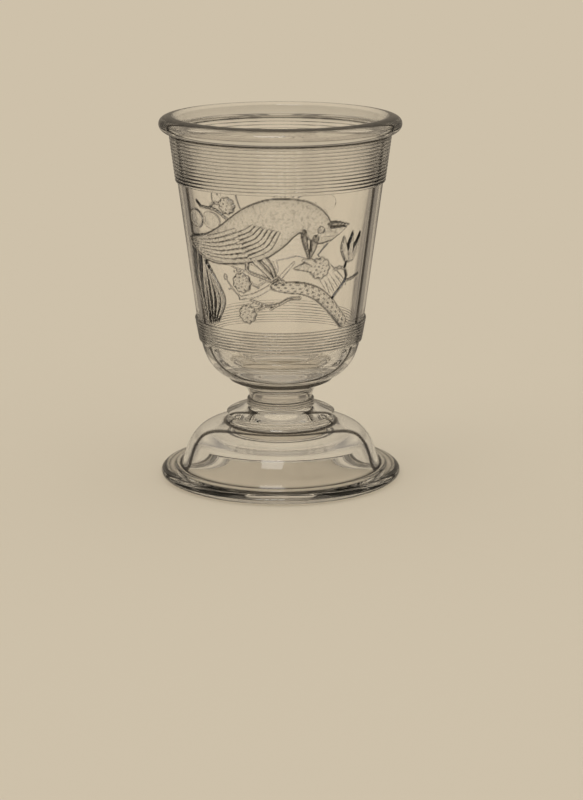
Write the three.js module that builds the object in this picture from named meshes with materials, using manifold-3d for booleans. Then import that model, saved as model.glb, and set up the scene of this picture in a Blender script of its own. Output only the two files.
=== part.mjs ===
// Footed spoon holder of pressed glass: a tapered bowl with two bird panels between reeded bands,
// a ringed stem and a stepped, domed foot. The three were shaped apart and joined hot.
// Millimetres, +Z up, the origin on the table under the middle of the foot. The front is -Y.
import * as THREE from "three";
import { mergeVertices } from "three/addons/utils/BufferGeometryUtils.js";
import Module from "manifold-3d";

const wasm = await Module();
wasm.setup();

// Foot
const footRadius = 46.6;
const footEdge = 3.8; // thickness of the rounded edge
const flangeWidth = 7.6; // from the edge in to the lower dome
const flangeDip = 0.5; // shallow groove in the top of the flange
const restWidth = 5.9; // flat ring that stands on the table
const restInset = 3.2; // from the edge in to that ring
const lowerDomeTop = 21.2;
const upperDomeRadius = 21.8;
const stepHeight = 3.9; // the upper dome's rounded side
const crownRise = 2.9; // from that step up to where the stem is joined on
const footWall = 3.8;

// Stem
const stemHeight = 10.2;
const stemFootRadius = 12.9;
const stemRings = 3;
const ringBandHeight = 2.6;
const ringDepth = 0.35;
const neckRadius = 12.1;
const stemTopRadius = 18.6;
const stemTopLand = 0.5; // thickness of its flared top at the edge

// Bowl
const ledgeOverhang = 1.4; // the bowl's ledge stands out past the stem's top
const ledgeHeight = 1.1;
const bottomHeight = 14.6; // rounded bottom, from the ledge to the lower band
const lowerBandHeight = 8.9;
const lowerBandDraw = 1.6; // how much narrower the bowl is under the lower band than above it
const lowerReeds = 8;
const panelHeight = 52.4;
const panelBottomRadius = 32.2;
const upperBandHeight = 18.2;
const upperReeds = 14;
const bandProud = 0.35; // the reeds' grooves stand this far out past the panel
const reedDepth = 0.45;
const rimHeight = 6.6;
const rimRadius = 46;
const rimOverhang = 4.5; // the rim rolls out this far past the upper band
const wall = 3.5;
const floorThickness = 8.3;
const floorRadius = 17; // flat part of the inside
const lipRound = 1.8; // rounding of the mouth's inner edge

// Relief
const drawnPanelHeight = 52.4; // the figures are drawn for a panel of this height
const reliefSink = 0.8; // how deep a figure's solids reach into the wall, so that they join it
const bodyHeight = 1.25;
const bodyShoulder = 0.8; // height where a body's top turns down
const blossomHeight = 1;
const leafHeight = 0.5;
const eyeRadius = 0.9;
const pleatDepth = 0.3; // of the grooves between feathers
const eyeHeight = 1.7; // from the glass, so it stands out of the head

const around = 40; // facets in a full turn

// Heights that follow
const footHeight = lowerDomeTop + stepHeight + crownRise;
const stemTop = footHeight + stemHeight;
const ledgeTop = stemTop + ledgeHeight;
const lowerBandBottom = ledgeTop + bottomHeight;
const panelBottom = lowerBandBottom + lowerBandHeight;
const panelTop = panelBottom + panelHeight;
const upperBandTop = panelTop + upperBandHeight;
const rimTop = upperBandTop + rimHeight;

// Radii that follow
const domeBaseRadius = footRadius - flangeWidth;
const ledgeRadius = stemTopRadius + ledgeOverhang;
const bottomRadius = panelBottomRadius - lowerBandDraw;
const upperBandTopRadius = rimRadius - rimOverhang;
const panelSlope = (upperBandTopRadius - panelBottomRadius) / (panelHeight + upperBandHeight);
const panelTopRadius = panelBottomRadius + panelSlope * panelHeight;
const mouthRadius = upperBandTopRadius + rimHeight * panelSlope - wall;

const at = (radius, height) => new THREE.Vector2(radius, height);

// Points of a cubic between two corners of an outline. The handles are shares of the way from the
// first corner to the second, across and up. The first corner itself is left to the piece before.
function bend(from, to, handleA, handleB, steps) {
  const between = ([across, up]) =>
    at(from.x + (to.x - from.x) * across, from.y + (to.y - from.y) * up);
  const curve = new THREE.CubicBezierCurve(from, between(handleA), between(handleB), to);
  return curve.getPoints(steps).slice(1);
}

// V-topped reeds along a straight side, grooves on the side's own line
function reeds(from, to, count, depth) {
  const points = [];
  for (let i = 0; i < count; i++) {
    const groove = from.clone().lerp(to, i / count);
    const crest = from.clone().lerp(to, (i + 0.5) / count);
    points.push(groove, at(crest.x + depth, crest.y));
  }
  points.push(to.clone());
  return points;
}

function turned(outline) {
  const geometry = new THREE.LatheGeometry(outline, around);
  geometry.rotateX(Math.PI / 2);
  return geometry;
}

function solidOf(geometry) {
  geometry.deleteAttribute("normal");
  geometry.deleteAttribute("uv");
  const merged = mergeVertices(geometry, 1e-4);
  return new wasm.Manifold(
    new wasm.Mesh({
      numProp: 3,
      vertProperties: new Float32Array(merged.attributes.position.array),
      triVerts: new Uint32Array(merged.index.array),
    }),
  );
}

function geometryOf(solid) {
  const mesh = solid.getMesh();
  const geometry = new THREE.BufferGeometry();
  geometry.setAttribute("position", new THREE.BufferAttribute(mesh.vertProperties, 3));
  geometry.setIndex(new THREE.BufferAttribute(mesh.triVerts, 1));
  geometry.computeVertexNormals();
  return geometry;
}

function footOutline() {
  const restOuter = at(footRadius - restInset, 0);
  const edge = at(footRadius, footEdge / 2);
  const edgeTop = at(footRadius - restInset, footEdge);
  const domeBase = at(domeBaseRadius, footEdge + flangeDip);
  const domeTop = at(upperDomeRadius - 0.3, lowerDomeTop);
  const haunch = domeBase.clone().lerp(domeTop, 0.4).add(at(1.6, 4.8));
  const step = at(upperDomeRadius - 0.9, lowerDomeTop + stepHeight);
  const join = at(stemFootRadius, footHeight);
  const restInner = at(footRadius - restInset - restWidth, 0);
  const hollowSide = at(haunch.x - footWall * 0.8, haunch.y - footWall * 0.8);
  const hollowTop = at(0, lowerDomeTop - footWall / 2);
  return [
    hollowTop,
    ...bend(hollowTop, hollowSide, [0.4, 0], [0.7, 0.2], 4),
    ...bend(hollowSide, restInner, [0.5, 0.35], [0.8, 0.8], 4),
    restOuter,
    ...bend(restOuter, edge, [0.55, 0], [1, 0.45], 3),
    ...bend(edge, edgeTop, [0, 0.55], [0.45, 1], 3),
    ...bend(edgeTop, domeBase, [0.4, -0.2], [0.7, -0.8], 2),
    ...bend(domeBase, haunch, [0.3, 0.18], [0.34, 0.64], 4),
    ...bend(haunch, domeTop, [0.24, 0.72], [0.64, 0.95], 4),
    ...bend(domeTop, step, [2.2, 0.2], [2.4, 0.75], 3),
    ...bend(step, join, [0.4, 0.75], [0.8, 0.58], 4),
    at(0, footHeight),
  ];
}

function stemOutline() {
  const bandTop = at(neckRadius + ringDepth, footHeight + ringBandHeight);
  const neck = at(neckRadius, bandTop.y);
  const flare = at(stemTopRadius, stemTop - stemTopLand);
  return [
    at(0, footHeight),
    ...reeds(at(stemFootRadius, footHeight), bandTop, stemRings, ringDepth),
    neck,
    ...bend(neck, flare, [0, 0.5], [0.32, 0.8], 6),
    at(stemTopRadius, stemTop),
    at(0, stemTop),
  ];
}

function bowlOutline() {
  const ledge = at(ledgeRadius, ledgeTop);
  const bottomTop = at(bottomRadius, lowerBandBottom);
  const lowerBandTop = at(panelBottomRadius + bandProud, panelBottom);
  const upperBandFoot = at(panelTopRadius + bandProud, panelTop);
  const upperBandHead = at(upperBandTopRadius + bandProud, upperBandTop);
  const rimSide = at(rimRadius, upperBandTop + rimHeight * 0.5);
  const rimCrown = at(mouthRadius + lipRound, rimTop);
  const mouth = at(mouthRadius, rimTop - lipRound * 0.7);
  const innerSpring = at(bottomRadius + panelSlope * lowerBandHeight - wall, panelBottom);
  const innerFloor = at(floorRadius, stemTop + floorThickness);
  return [
    at(0, stemTop),
    at(ledgeRadius, stemTop),
    ledge,
    ...bend(ledge, bottomTop, [0.45, 0.12], [0.86, 0.42], 6),
    ...reeds(at(bottomRadius + bandProud, lowerBandBottom), lowerBandTop, lowerReeds, reedDepth),
    at(panelBottomRadius, panelBottom),
    at(panelTopRadius, panelTop),
    ...reeds(upperBandFoot, upperBandHead, upperReeds, reedDepth),
    ...bend(upperBandHead, rimSide, [0.45, 0.05], [0.95, 0.4], 4),
    ...bend(rimSide, rimCrown, [-0.02, 0.7], [0.4, 1], 4),
    ...bend(rimCrown, mouth, [0.5, 0], [1, 0.5], 2),
    ...bend(mouth, innerSpring, [0.35, 0.35], [0.8, 0.72], 4),
    ...bend(innerSpring, innerFloor, [0.14, 0.55], [0.45, 1], 6),
    at(0, innerFloor.y),
  ];
}

// A point of the unrolled panel, measured from its middle line and its lower edge, as it lies on
// the taper. side is the turn from the front.
const panelMiddleRadius = (panelTopRadius + panelBottomRadius) / 2;
const drawingScale = panelHeight / drawnPanelHeight;
function onPanel(across, up, out, side) {
  const angle = (across * drawingScale) / panelMiddleRadius + side;
  const rise = up * drawingScale;
  const radius = panelBottomRadius + rise * panelSlope + out;
  return [radius * Math.sin(angle), -radius * Math.cos(angle), panelBottom + rise];
}

function facetted(positions, faces) {
  const geometry = new THREE.BufferGeometry();
  geometry.setAttribute("position", new THREE.Float32BufferAttribute(positions, 3));
  geometry.setIndex(faces);
  return geometry;
}

// Faces of a solid that runs through steps + 1 rings of points, closed at both ends
function tubeFaces(steps, ring) {
  const faces = [];
  for (let i = 0; i < steps; i++) {
    for (let j = 0; j < ring; j++) {
      const a = i * ring + j;
      const b = i * ring + ((j + 1) % ring);
      faces.push(a, a + ring, b + ring, a, b + ring, b);
    }
  }
  const last = steps * ring;
  for (let j = 1; j < ring - 1; j++) faces.push(0, j, j + 1, last, last + j + 1, last + j);
  return faces;
}

// A ridge through stations of across, up, half width and height. A broad one is rounded over and a
// narrow one comes to a crest; its foot is sunk in the wall.
const broad = 1.9; // half width from which a ridge is rounded over
const roundedTop = [
  [-0.72, 0.8],
  [0, 1],
  [0.72, 0.8],
];
const crestedTop = [[0, 1]];
const ridgeFoot = 1.15; // half width at the sunk foot
function ridge(stations, side) {
  const line = new THREE.CatmullRomCurve3(stations.map(([u, v]) => new THREE.Vector3(u, v, 0)));
  const size = new THREE.CatmullRomCurve3(stations.map(([, , w, h]) => new THREE.Vector3(w, h, 0)));
  const top = stations.some(([, , halfWidth]) => halfWidth > broad) ? roundedTop : crestedTop;
  const steps = stations.length - 1;
  const positions = [];
  for (let i = 0; i <= steps; i++) {
    const middle = line.getPoint(i / steps);
    const along = line.getTangent(i / steps);
    const { x: halfWidth, y: height } = size.getPoint(i / steps);
    const put = (share, out) => {
      const u = middle.x - along.y * halfWidth * share;
      const v = middle.y + along.x * halfWidth * share;
      positions.push(...onPanel(u, v, out, side));
    };
    put(-ridgeFoot, -reliefSink);
    for (const [share, rise] of top) put(share, rise * height);
    put(ridgeFoot, -reliefSink);
  }
  return facetted(positions, tubeFaces(steps, top.length + 2));
}

// A domed body between two edges, each station a point of its left edge and one of its right
function domed(stations, side) {
  const edges = [0, 1].map(
    (k) => new THREE.CatmullRomCurve3(stations.map((pair) => new THREE.Vector3(...pair[k], 0))),
  );
  const steps = stations.length - 1;
  const positions = [];
  for (let i = 0; i <= steps; i++) {
    const [left, right] = edges.map((edge) => edge.getPoint(i / steps));
    const inset = Math.min(0.4, 1 / right.distanceTo(left));
    const put = (share, out) => {
      const point = right.clone().lerp(left, share);
      positions.push(...onPanel(point.x, point.y, out, side));
    };
    put(0, -reliefSink);
    put(inset, bodyShoulder);
    put(0.5, bodyHeight);
    put(1 - inset, bodyShoulder);
    put(1, -reliefSink);
  }
  return facetted(positions, tubeFaces(steps, 5));
}

// Feathers laid side by side as one pleated solid. Its two edges have stations of across, up and
// height, and count feathers share the way between them.
function pleated({ count, first, last }, side) {
  const edges = [first, last].map(
    (stations) => new THREE.CatmullRomCurve3(stations.map((station) => new THREE.Vector3(...station))),
  );
  const steps = first.length;
  const positions = [];
  for (let i = 0; i <= steps; i++) {
    const [a, b] = edges.map((edge) => edge.getPoint(i / steps));
    for (let k = -1; k <= 2 * count + 1; k++) {
      const point = a.clone().lerp(b, Math.min(Math.max(k / (2 * count), 0), 1));
      const isFoot = k < 0 || k > 2 * count;
      const out = isFoot ? -reliefSink : point.z - (k % 2 ? 0 : pleatDepth);
      positions.push(...onPanel(point.x, point.y, out, side));
    }
  }
  return facetted(positions, tubeFaces(steps, 2 * count + 3));
}

// A round boss. Each of its rings is a share of its half widths and of its height; a blossom has
// lobes, deepest halfway up, a leaf is dished and an eye is plain.
const blossomBoss = {
  crown: 1,
  rings: [
    { reach: 0.96, rise: -1, lobing: 0.04 },
    { reach: 0.86, rise: 0.75, lobing: 0.1 },
    { reach: 0.42, rise: 0.9, lobing: 0.08 },
  ],
};
const leafBoss = {
  crown: 0.4,
  rings: [
    { reach: 1, rise: -1, lobing: 0 },
    { reach: 0.86, rise: 1, lobing: 0 },
    { reach: 0.6, rise: 0.5, lobing: 0 },
  ],
};
const eyeBoss = {
  crown: 1,
  rings: [
    { reach: 1, rise: -1, lobing: 0 },
    { reach: 0.7, rise: 0.85, lobing: 0 },
  ],
};
function boss([across, up], [halfLength, halfWidth], height, { crown, rings }, points, side) {
  const positions = [
    ...onPanel(across, up, -reliefSink, side),
    ...onPanel(across, up, height * crown, side),
  ];
  for (const { reach, rise, lobing } of rings) {
    for (let i = 0; i < points; i++) {
      const turn = (2 * Math.PI * i) / points;
      const lobe = i % 2 ? -lobing : lobing;
      const out = rise < 0 ? -reliefSink : height * (rise + lobe);
      const u = across + Math.cos(turn) * halfLength * (reach + lobe);
      const v = up + Math.sin(turn) * halfWidth * (reach + lobe);
      positions.push(...onPanel(u, v, out, side));
    }
  }
  const faces = [];
  const last = 2 + (rings.length - 1) * points;
  for (let i = 0; i < points; i++) {
    const next = (i + 1) % points;
    faces.push(0, 2 + next, 2 + i, 1, last + i, last + next);
    for (let a = 2; a < last; a += points) {
      faces.push(a + i, a + next, a + points + next, a + i, a + points + next, a + points + i);
    }
  }
  return facetted(positions, faces);
}

// Front figure: the bird bows its head over the branch it stands on.
const bowedBird = {
  side: 0,
  // from the tail's root to the face, a point of the back and one of the belly
  body: [
    [[-40.2, 34.4], [-40.6, 32]], [[-30.5, 36.2], [-32.3, 26.6]], [[-24.2, 39.1], [-26, 25.4]],
    [[-19.6, 42.3], [-21.2, 25.6]], [[-14.8, 46.1], [-15.5, 26.2]], [[-10.5, 48.7], [-10.2, 27.2]],
    [[-5.9, 50.7], [-5.2, 28.7]], [[-1.5, 51.4], [-1.6, 31]], [[3.5, 51.4], [1.9, 33.8]],
    [[7.9, 50.7], [4.8, 36.9]], [[11.4, 49.3], [7.4, 38.4]], [[14.5, 47.1], [10.2, 36]],
    [[16.9, 44.6], [13.4, 34.2]], [[18.4, 41.6], [16.8, 34.4]], [[18.8, 39.4], [20.2, 35.8]],
  ],
  strokes: [
    // crest, then the two halves of the beak
    [[17.2, 41.2, 0.9, 1.3], [21.4, 41, 0.9, 1.1], [26.2, 40.2, 0.3, 0.6]],
    [[17.2, 37.8, 2.2, 1.25], [20.8, 38, 1.9, 1.1], [25.4, 39.8, 0.4, 0.6]],
    [[8.2, 39.2, 1, 1.5], [9, 34.6, 0.9, 1.1], [10.6, 28.8, 0.3, 0.5]],
    [[12.6, 36.6, 1.5, 1.5], [12.1, 32.8, 1.2, 1.1], [11.1, 28.8, 0.3, 0.5]],
    // legs and toes
    [[-9, 28.2, 1.3, 0.95], [-6, 24.6, 1, 0.9], [-2.8, 20.9, 0.7, 0.85]],
    [[-5.6, 29.2, 1.3, 0.95], [-3.4, 25.6, 0.9, 0.9], [-1.8, 21.4, 0.6, 0.85]],
    [[-12.4, 27.6, 0.7, 0.85], [-12.2, 23.8, 0.6, 0.8], [-7.4, 21.8, 0.6, 0.8], [-3, 20.2, 0.6, 0.8]],
    [[-3.6, 20.2, 0.6, 1.2], [-1.2, 21.4, 0.6, 1.2], [1.4, 19, 0.4, 0.9]],
    // branch, its twigs and the bud's stalk
    [[-2.4, 18, 1.3, 0.75], [2.6, 17.8, 2.1, 1.05], [9, 17.1, 2.3, 1.2], [14.6, 14.8, 2.4, 1.2],
      [19.4, 11, 2.4, 1.2], [23.4, 7, 2.3, 1.2], [28, 2.6, 2.3, 1]],
    [[7.6, 13.4, 0.6, 0.7], [3.4, 13.2, 0.6, 0.65], [-0.4, 11.3, 0.6, 0.65], [-5.6, 10.6, 0.5, 0.65],
      [-11.6, 12.6, 0.4, 0.5]],
    [[-0.6, 11.2, 0.5, 0.6], [-3.8, 9.2, 0.4, 0.5]],
    [[22, 10.6, 0.6, 0.75], [22.4, 13.4, 0.6, 0.7], [27.8, 20, 0.6, 0.65], [26.6, 23.8, 0.6, 0.65],
      [28, 27.6, 0.6, 0.75]],
    [[27.6, 18.6, 0.5, 0.6], [35, 20.2, 0.4, 0.5]],
    [[21.6, 23.6, 0.5, 0.5], [26.8, 23.2, 0.5, 0.6]],
    [[-19, 43, 0.6, 0.65], [-24.6, 46.2, 0.6, 0.65], [-33.4, 48, 0.4, 0.5]],
    // bud, then the open flower beside the branch
    [[26.8, 27.2, 1.3, 0.9], [25.2, 31.4, 1.6, 0.95], [24.8, 35.6, 0.4, 0.6]],
    [[28.4, 27, 1.4, 1], [28.2, 31.8, 1.6, 1.15], [29, 37, 0.4, 0.6]],
    [[30, 27.2, 1.3, 0.9], [31.8, 31.4, 1.5, 1], [33.2, 36.4, 0.4, 0.6]],
    [[13.6, 23.8, 1.1, 0.85], [9.4, 25.4, 1.5, 0.9], [5.4, 25, 0.4, 0.5]],
    [[14, 24.4, 1, 0.85], [11.4, 27.2, 1.3, 0.9], [8.6, 28, 0.4, 0.5]],
  ],
  // tail, then the wing's flight feathers and coverts
  feathers: [
    {
      count: 3,
      first: [[-39.8, 31, 1], [-40.6, 18, 1], [-35.6, 2.4, 0.7]],
      last: [[-31.2, 30, 1], [-32.4, 15, 1], [-32.6, 1.6, 0.7]],
    },
    {
      count: 4,
      first: [[-32.4, 27, 1], [-32.4, 13, 1], [-32.6, 2, 0.7]],
      last: [[-27.8, 21.8, 1], [-23.4, 11.6, 1], [-27.4, 3, 0.7]],
    },
    {
      count: 6,
      first: [[-14.6, 39.4, 1.6], [-26, 36.3, 1.6], [-39, 33.8, 1.5]],
      last: [[-10.8, 28.6, 1.6], [-22, 27.4, 1.6], [-38.6, 32, 1.5]],
    },
    {
      count: 6,
      first: [[-10, 42, 1.8], [-12.4, 39.8, 1.95], [-17, 37.6, 1.85]],
      last: [[0, 38.4, 1.8], [-3.6, 32.4, 1.95], [-10.8, 29, 1.85]],
    },
  ],
  leaves: [
    [[-34.4, 41.6], [4, 3.6]],
    [[-26.4, 41.8], [4.4, 3.4]],
  ],
  eye: [14.4, 39.6],
  blossoms: [
    [[-14.9, 19], 3.9],
    [[-13.2, 7.1], 3.7],
    [[-19, 47.6], 3.3],
    [[15.2, 24.6], 4.2],
  ],
};

// Back figure: the bird looks up, its tail down to the left, twigs above its back.
const lookingBird = {
  side: Math.PI,
  // from the face to the tail's root, a point of the belly and one of the back
  body: [
    [[32.6, 42.5], [29.6, 45.6]], [[32, 38.6], [25.4, 46]], [[30.6, 33.6], [21.4, 45]],
    [[28.8, 26.9], [19.4, 43]], [[26.3, 22.3], [18.4, 39.4]], [[23.1, 18.5], [17.2, 36]],
    [[19.9, 15.7], [14.2, 34.2]], [[15.4, 13.9], [9.7, 33.4]], [[10.5, 13.1], [5.3, 32.8]],
    [[5.7, 13.6], [1.5, 32]], [[1.6, 14.6], [-3.9, 31.2]], [[-3, 15.4], [-11.8, 30]],
    [[-7.6, 16.3], [-19.6, 27]], [[-12.5, 15.6], [-22.4, 23.4]], [[-16.1, 16.6], [-19.8, 20.1]],
  ],
  strokes: [
    // crest, then the two halves of the beak
    [[25, 44.4, 1.7, 1.4], [20.8, 46.2, 1.3, 1.1], [15.2, 46.8, 0.4, 0.6]],
    [[27, 45.4, 1.3, 1.4], [31.4, 48.6, 1.3, 1.2], [38.4, 49.8, 0.4, 0.6]],
    [[30, 44, 1.3, 1.3], [33.6, 46.6, 1, 1], [38, 49.2, 0.3, 0.6]],
    // legs and toes
    [[2.6, 14.4, 1.2, 0.95], [1.8, 11, 0.7, 0.9], [4.8, 8.4, 0.6, 0.85], [10.6, 5.4, 0.6, 0.9]],
    [[5.7, 14.2, 0.8, 0.85], [7.6, 9.4, 0.6, 0.8], [9.8, 7.2, 0.5, 0.75]],
    [[14.8, 15, 1, 0.9], [17.5, 11.8, 0.6, 0.85], [23, 12, 0.4, 0.75]],
    [[10.6, 5, 0.6, 1.1], [14.4, 6.4, 0.6, 1.1], [18.6, 4.4, 0.4, 0.9]],
    // branch and its twigs
    [[-5.9, 15.6, 0.7, 0.7], [-1.9, 10.4, 0.9, 0.85], [2.9, 6.2, 1.1, 0.95], [9.7, 2.9, 1.2, 1],
      [20.6, 1.8, 0.8, 0.8]],
    [[20.4, 2.2, 0.6, 0.8], [23.8, 5, 0.6, 0.7], [28.2, 9.8, 0.4, 0.5]],
    // sprig above the back
    [[-2.8, 30.8, 1.4, 1.1], [-4, 37.2, 1.2, 1.05], [-8, 41, 1, 1], [-12.2, 45.8, 0.7, 0.8],
      [-17.6, 50.6, 0.4, 0.5]],
    [[-3, 34.8, 1, 0.95], [1.5, 40.5, 0.7, 0.8], [5.6, 45.4, 0.5, 0.6]],
    [[1.6, 40.6, 0.5, 0.65], [1.9, 47, 0.4, 0.5]],
    [[-8.4, 41.6, 0.5, 0.7], [-9.9, 48.4, 0.4, 0.5]],
    [[-4.8, 38.4, 0.5, 0.7], [-6, 43.2, 0.5, 0.6], [-4.7, 47.6, 0.4, 0.5]],
    [[-7.4, 39.8, 0.5, 0.7], [-16.3, 42.4, 0.4, 0.5]],
    [[-4, 34.2, 0.6, 0.8], [-11, 33.6, 0.5, 0.65], [-18.1, 33.9, 0.4, 0.5]],
    [[0.4, 38.8, 0.5, 0.65], [5.4, 41, 0.4, 0.5]],
  ],
  // tail, then the wing's flight feathers, coverts and shoulder
  feathers: [
    {
      count: 5,
      first: [[-15.2, 20, 1], [-25.2, 14.6, 1], [-37, 10, 0.7]],
      last: [[-12.4, 15.6, 1], [-18.4, 8.8, 1], [-24.4, 2.2, 0.7]],
    },
    {
      count: 6,
      first: [[-3.6, 30, 1.6], [-12, 28.8, 1.6], [-20.2, 26, 1.5]],
      last: [[1, 17.2, 1.6], [-8, 18.6, 1.6], [-21.4, 22.6, 1.5]],
    },
    {
      count: 5,
      first: [[3.6, 30.6, 1.8], [-1.8, 30, 1.95], [-9, 28.4, 1.85]],
      last: [[11.4, 19, 1.8], [4.6, 18, 1.95], [-3, 19.2, 1.85]],
    },
    {
      count: 4,
      first: [[11.6, 31, 1.8], [7.8, 30.2, 2.2], [2.6, 28, 2.1]],
      last: [[18.2, 23.6, 1.8], [14.4, 21.8, 2.2], [8.6, 21, 2.1]],
    },
  ],
  leaves: [[[-21.4, 38.6], [3.4, 3]]],
  eye: [27.6, 42.2],
  blossoms: [
    [[5.8, 46.2], 1.3],
    [[-4.7, 48.4], 1.2],
    [[-17, 42.8], 1.3],
    [[28.8, 10.6], 1.4],
  ],
};

function reliefOf({ side, body, strokes, feathers, leaves, eye, blossoms }) {
  return [
    ...leaves.map(([middle, halves]) => boss(middle, halves, leafHeight, leafBoss, 10, side)),
    domed(body, side),
    ...feathers.map((feather) => pleated(feather, side)),
    ...strokes.map((stations) => ridge(stations, side)),
    ...blossoms.map(([middle, radius]) =>
      boss(middle, [radius, radius], blossomHeight, blossomBoss, radius > 2 ? 12 : 6, side),
    ),
    boss(eye, [eyeRadius, eyeRadius], eyeHeight, eyeBoss, 6, side),
  ];
}

function bowlGeometry() {
  let bowl = solidOf(turned(bowlOutline()));
  for (const figure of [bowedBird, lookingBird]) {
    for (const geometry of reliefOf(figure)) bowl = bowl.add(solidOf(geometry));
  }
  return geometryOf(bowl);
}

// The same clear glass, slightly grey; thin in the bowl, thicker and darker in stem and foot
const glass = (color) =>
  new THREE.MeshStandardMaterial({ color, roughness: 0.08, metalness: 0, transparent: true, opacity: 0.35 });

function piece(name, geometry, color) {
  const mesh = new THREE.Mesh(geometry, glass(color));
  mesh.name = name;
  return mesh;
}

const spoonHolder = new THREE.Group();
spoonHolder.add(
  piece("foot", turned(footOutline()), 0xb5a794),
  piece("stem", turned(stemOutline()), 0x8e8475),
  piece("bowl", bowlGeometry(), 0xbaaa94),
);

export default spoonHolder;
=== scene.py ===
# Footed spoon holder of clear pressed glass: a tapered bowl with bird relief between reeded bands,
# a ringed stem and a stepped, domed foot
import math
import bmesh
import bpy
import numpy as np
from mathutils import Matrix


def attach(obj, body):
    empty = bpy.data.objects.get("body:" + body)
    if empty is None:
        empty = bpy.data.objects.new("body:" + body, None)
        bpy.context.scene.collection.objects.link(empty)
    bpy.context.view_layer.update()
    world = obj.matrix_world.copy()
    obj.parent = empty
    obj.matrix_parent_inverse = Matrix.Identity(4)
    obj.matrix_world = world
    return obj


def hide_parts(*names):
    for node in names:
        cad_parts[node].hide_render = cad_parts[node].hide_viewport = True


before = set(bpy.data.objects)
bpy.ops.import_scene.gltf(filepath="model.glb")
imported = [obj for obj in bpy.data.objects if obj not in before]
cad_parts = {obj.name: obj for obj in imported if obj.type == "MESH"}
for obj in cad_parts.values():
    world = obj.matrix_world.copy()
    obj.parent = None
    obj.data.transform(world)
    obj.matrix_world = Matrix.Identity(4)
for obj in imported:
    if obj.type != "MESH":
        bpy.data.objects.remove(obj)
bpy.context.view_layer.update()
mm = 0.001
print("frame loaded, nodes:", ", ".join(sorted(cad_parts)))

# Shapes are drawn in millimetres and made metres when a piece is finished
seamGap = 0.02  # half the gap between two pieces that are joined hot
hair = 0.001  # places closer than this are taken for the same


# Shader nodes
def addNode(tree, kind, inputs=None, **settings):
    # an input that is another node's output is linked, any other is set
    node = tree.nodes.new(kind)
    for key, value in settings.items():
        setattr(node, key, value)
    for key, value in (inputs or {}).items():
        if hasattr(value, "links"):
            tree.links.new(value, node.inputs[key])
        else:
            node.inputs[key].default_value = value
    return node


def mapped(tree, value, ends, results=(0, 1), **settings):
    return addNode(tree, "ShaderNodeMapRange",
                   {"Value": value, "From Min": ends[0], "From Max": ends[1], "To Min": results[0],
                    "To Max": results[1]}, **settings).outputs[0]


def maths(tree, operation, *values, clamp=False):
    return addNode(tree, "ShaderNodeMath", dict(enumerate(values)), operation=operation,
                   use_clamp=clamp).outputs[0]


def noise(tree, place, size, detail, roughness=0.5):
    return addNode(tree, "ShaderNodeTexNoise",
                   {"Vector": place, "Scale": size, "Detail": detail, "Roughness": roughness}).outputs["Fac"]


def bumped(tree, height, distance, **under):
    return addNode(tree, "ShaderNodeBump",
                   {"Height": height, "Strength": 1.0, "Distance": distance, **under}).outputs["Normal"]


def mixedColour(tree, share, first, second):
    return addNode(tree, "ShaderNodeMix", {"Factor": share, 6: first, 7: second},
                   data_type="RGBA").outputs[2]


# Glass
glassLook = {
    "bowlTint": (0.981, 0.966, 0.944, 1),
    "stemTint": (0.70, 0.675, 0.645, 1),
    "footTint": (0.985, 0.985, 0.985, 1),
    "ior": 1.5,
    "roughness": 0.012,
    "rippleSize": 26.0,
    "rippleDetail": 1.5,
    "rippleRoughness": 0.4,
    "rippleHeight": 0.00004,
    "frostRoughness": 0.16,
    "stippleSize": 1500.0,
    "stippleDetail": 2.0,
    "stippleHeight": 0.0003,
    "speckSize": 900.0,
    "speckDetail": 1.0,
    "speckRange": (0.5, 0.68),  # of the noise, from no speck to a full one
    "speckDepth": 0.36,
    # colour of the painted shade that darkens the glass in its lines, valleys, marks and edges
    "paintedShadeColour": (0.012, 0.010, 0.008, 1),
    "shadeBehind": 0.12,  # share of the painted shade that shows when it is seen from inside the glass
    # facing and darkness of the painted shade: glass seen edge on is painted darker, in a line and then
    # towards its outline
    "edgeShading": [(0.57, 0), (0.59, 1), (0.63, 1), (0.66, 0.12), (0.82, 0.2), (0.95, 0.95)],
    "shadowTint": (0.988, 0.99, 0.992, 1),
}


def attributeOf(tree, name):
    return addNode(tree, "ShaderNodeAttribute", attribute_name=name).outputs["Fac"]


def frosted(tree, place, paintedShade, normal, look):
    # the relief is rougher, stippled and darkly speckled; the specks join the painted shade, which is weaker
    # seen from inside the glass, and the painted shade round the mouth is added as it is
    frost = attributeOf(tree, "frost")
    speckle = noise(tree, place, look["speckSize"], look["speckDetail"])
    speck = mapped(tree, speckle, look["speckRange"], (0, look["speckDepth"]))
    paintedShade = maths(tree, "MULTIPLY_ADD", speck, frost, paintedShade, clamp=True)
    behind = addNode(tree, "ShaderNodeNewGeometry").outputs["Backfacing"]
    shown = mapped(tree, behind, (0, 1), (1, look["shadeBehind"]))
    paintedShade = maths(tree, "MULTIPLY_ADD", paintedShade, shown, attributeOf(tree, "mouthShade"))
    stipple = noise(tree, place, look["stippleSize"], look["stippleDetail"])
    normal = bumped(tree, maths(tree, "MULTIPLY", stipple, frost), look["stippleHeight"], Normal=normal)
    roughness = mapped(tree, frost, (0, 1), (look["roughness"], look["frostRoughness"]))
    return paintedShade, normal, roughness


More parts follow.
